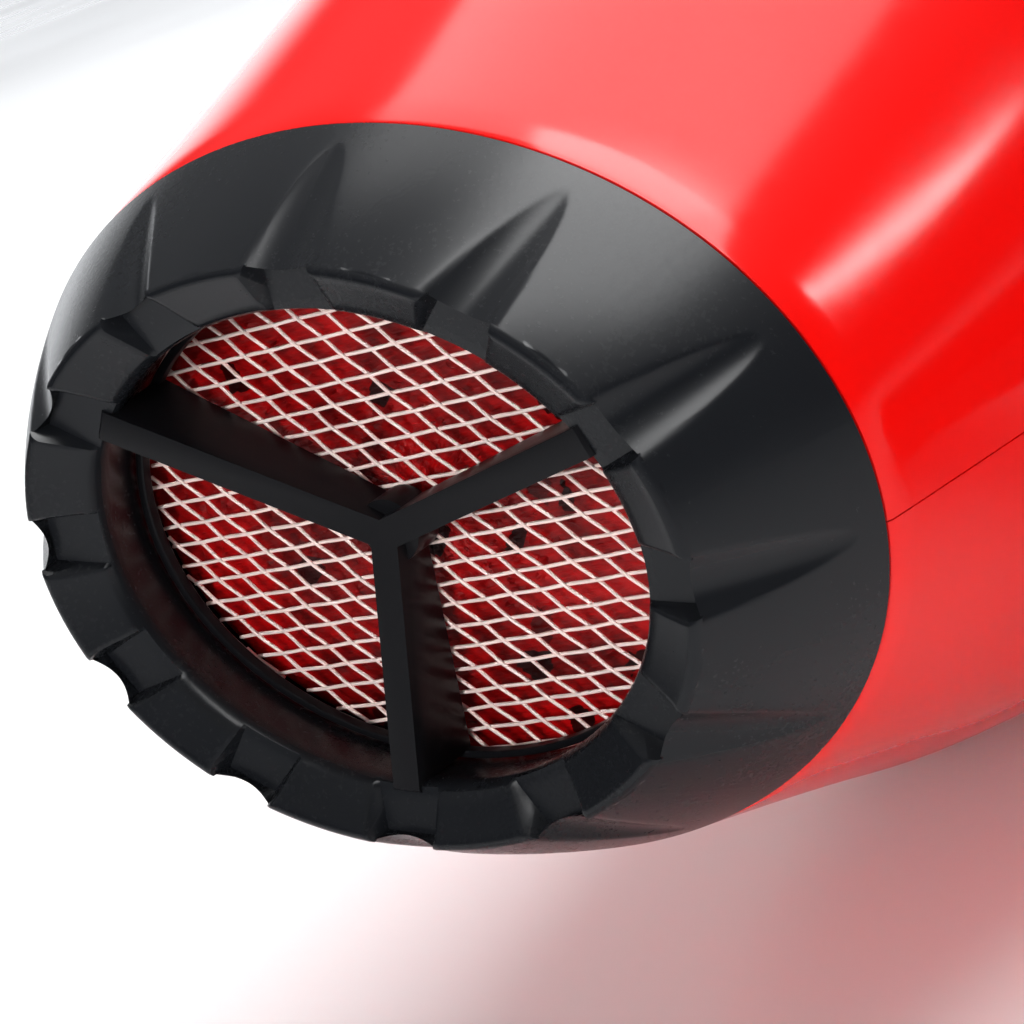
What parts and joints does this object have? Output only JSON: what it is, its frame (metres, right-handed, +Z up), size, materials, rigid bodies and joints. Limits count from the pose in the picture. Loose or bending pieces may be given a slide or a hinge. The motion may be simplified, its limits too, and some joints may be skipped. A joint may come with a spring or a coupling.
{
  "type": "handheld pet dryer",
  "caption": "Handheld hot-air dryer with an oval ribbed intake cap, Y-spoke mesh grille, round barrel, side handle with switches and a flat outlet nozzle.",
  "frame": {"origin": "on the table under the middle of the object's overall outline, with the dryer lying on its side", "axes": "+Z up from the table, +Y along the barrel from the air intake to the outlet nozzle, +X towards the handle"},
  "size_m": [0.2114, 0.2434, 0.0927],
  "materials": {
    "red_gloss": "polished red moulding",
    "black_gloss": "polished black moulding",
    "black_matte": "fine matte black moulding",
    "copper_wire": "bright copper-coated wire",
    "red_foam": "open-cell foam",
    "steel": "drawn steel",
    "brass": "sintered brass",
    "mica": "pressed mica sheet",
    "white_plastic": "plain white moulding",
    "board_green": "coated circuit board",
    "rubber": "soft black rubber"
  },
  "bodies": {
    "housing": {"housing_upper": "red_gloss", "housing_lower": "red_gloss", "housing_screw_1": "steel", "housing_screw_2": "steel", "housing_screw_3": "steel", "fan_shroud": "black_matte", "motor_can": "steel", "motor_magnet": "black_matte", "motor_end_bell": "white_plastic", "front_bearing": "brass", "rear_bearing": "brass", "heater_frame": "mica", "heater_coil": "steel", "mica_tube": "mica", "thermostat": "steel", "thermal_fuse": "white_plastic", "outlet_sleeve": "black_matte", "outlet_grille": "black_matte", "switch_bezel": "black_matte", "speed_switch_body": "black_matte", "heat_switch_body": "black_matte", "button_spring": "steel", "cool_switch_body": "black_matte", "control_board": "board_green", "capacitor": "white_plastic", "handle_end_cap": "black_gloss", "cord_gland": "rubber", "hanging_loop": "rubber"},
    "intake_cap": {"intake_ring": "black_gloss", "spoke_grille": "black_gloss", "wire_mesh": "copper_wire", "foam_filter": "red_foam", "mesh_retainer": "black_matte"},
    "fan_rotor": {"impeller": "black_matte", "motor_shaft": "steel", "rotor_core": "steel"},
    "nozzle_collar_body": {"nozzle_collar": "black_gloss"},
    "nozzle_body": {"concentrator_nozzle": "black_gloss"},
    "speed_rocker_body": {"speed_rocker": "black_gloss"},
    "heat_rocker_body": {"heat_rocker": "black_gloss"},
    "cool_button_body": {"cool_button": "black_gloss"}
  },
  "joints": [
    {"name": "cap_slide", "type": "slide", "parent": "housing", "child": "intake_cap", "axis": [0, -1, 0], "range_m": [0, 0.05]},
    {"name": "fan_spin", "type": "hinge", "parent": "housing", "child": "fan_rotor", "pos_m": [-0.05937, -0.03545, 0.0464], "axis": [0, 1, 0], "continuous": true},
    {"name": "nozzle_slide", "type": "slide", "parent": "housing", "child": "nozzle_collar_body", "axis": [0, 1, 0], "range_m": [0, 0.03]},
    {"name": "nozzle_turn", "type": "hinge", "parent": "nozzle_collar_body", "child": "nozzle_body", "pos_m": [-0.05937, 0.06775, 0.0464], "axis": [0, 1, 0], "continuous": true},
    {"name": "speed_rocker_tilt", "type": "hinge", "parent": "housing", "child": "speed_rocker_body", "pos_m": [0.0112, -0.01345, 0.03213], "axis": [0.1982, 0, 0.9802], "range_deg": [-7, 7]},
    {"name": "heat_rocker_tilt", "type": "hinge", "parent": "housing", "child": "heat_rocker_body", "pos_m": [0.02982, -0.01345, 0.02836], "axis": [0.1982, 0, 0.9802], "range_deg": [-7, 7]},
    {"name": "cool_button_press", "type": "slide", "parent": "housing", "child": "cool_button_body", "axis": [0, -1, 0], "range_m": [0, 0.0025], "stiffness_N_per_m": 400, "springref_m": -0.001}
  ]
}
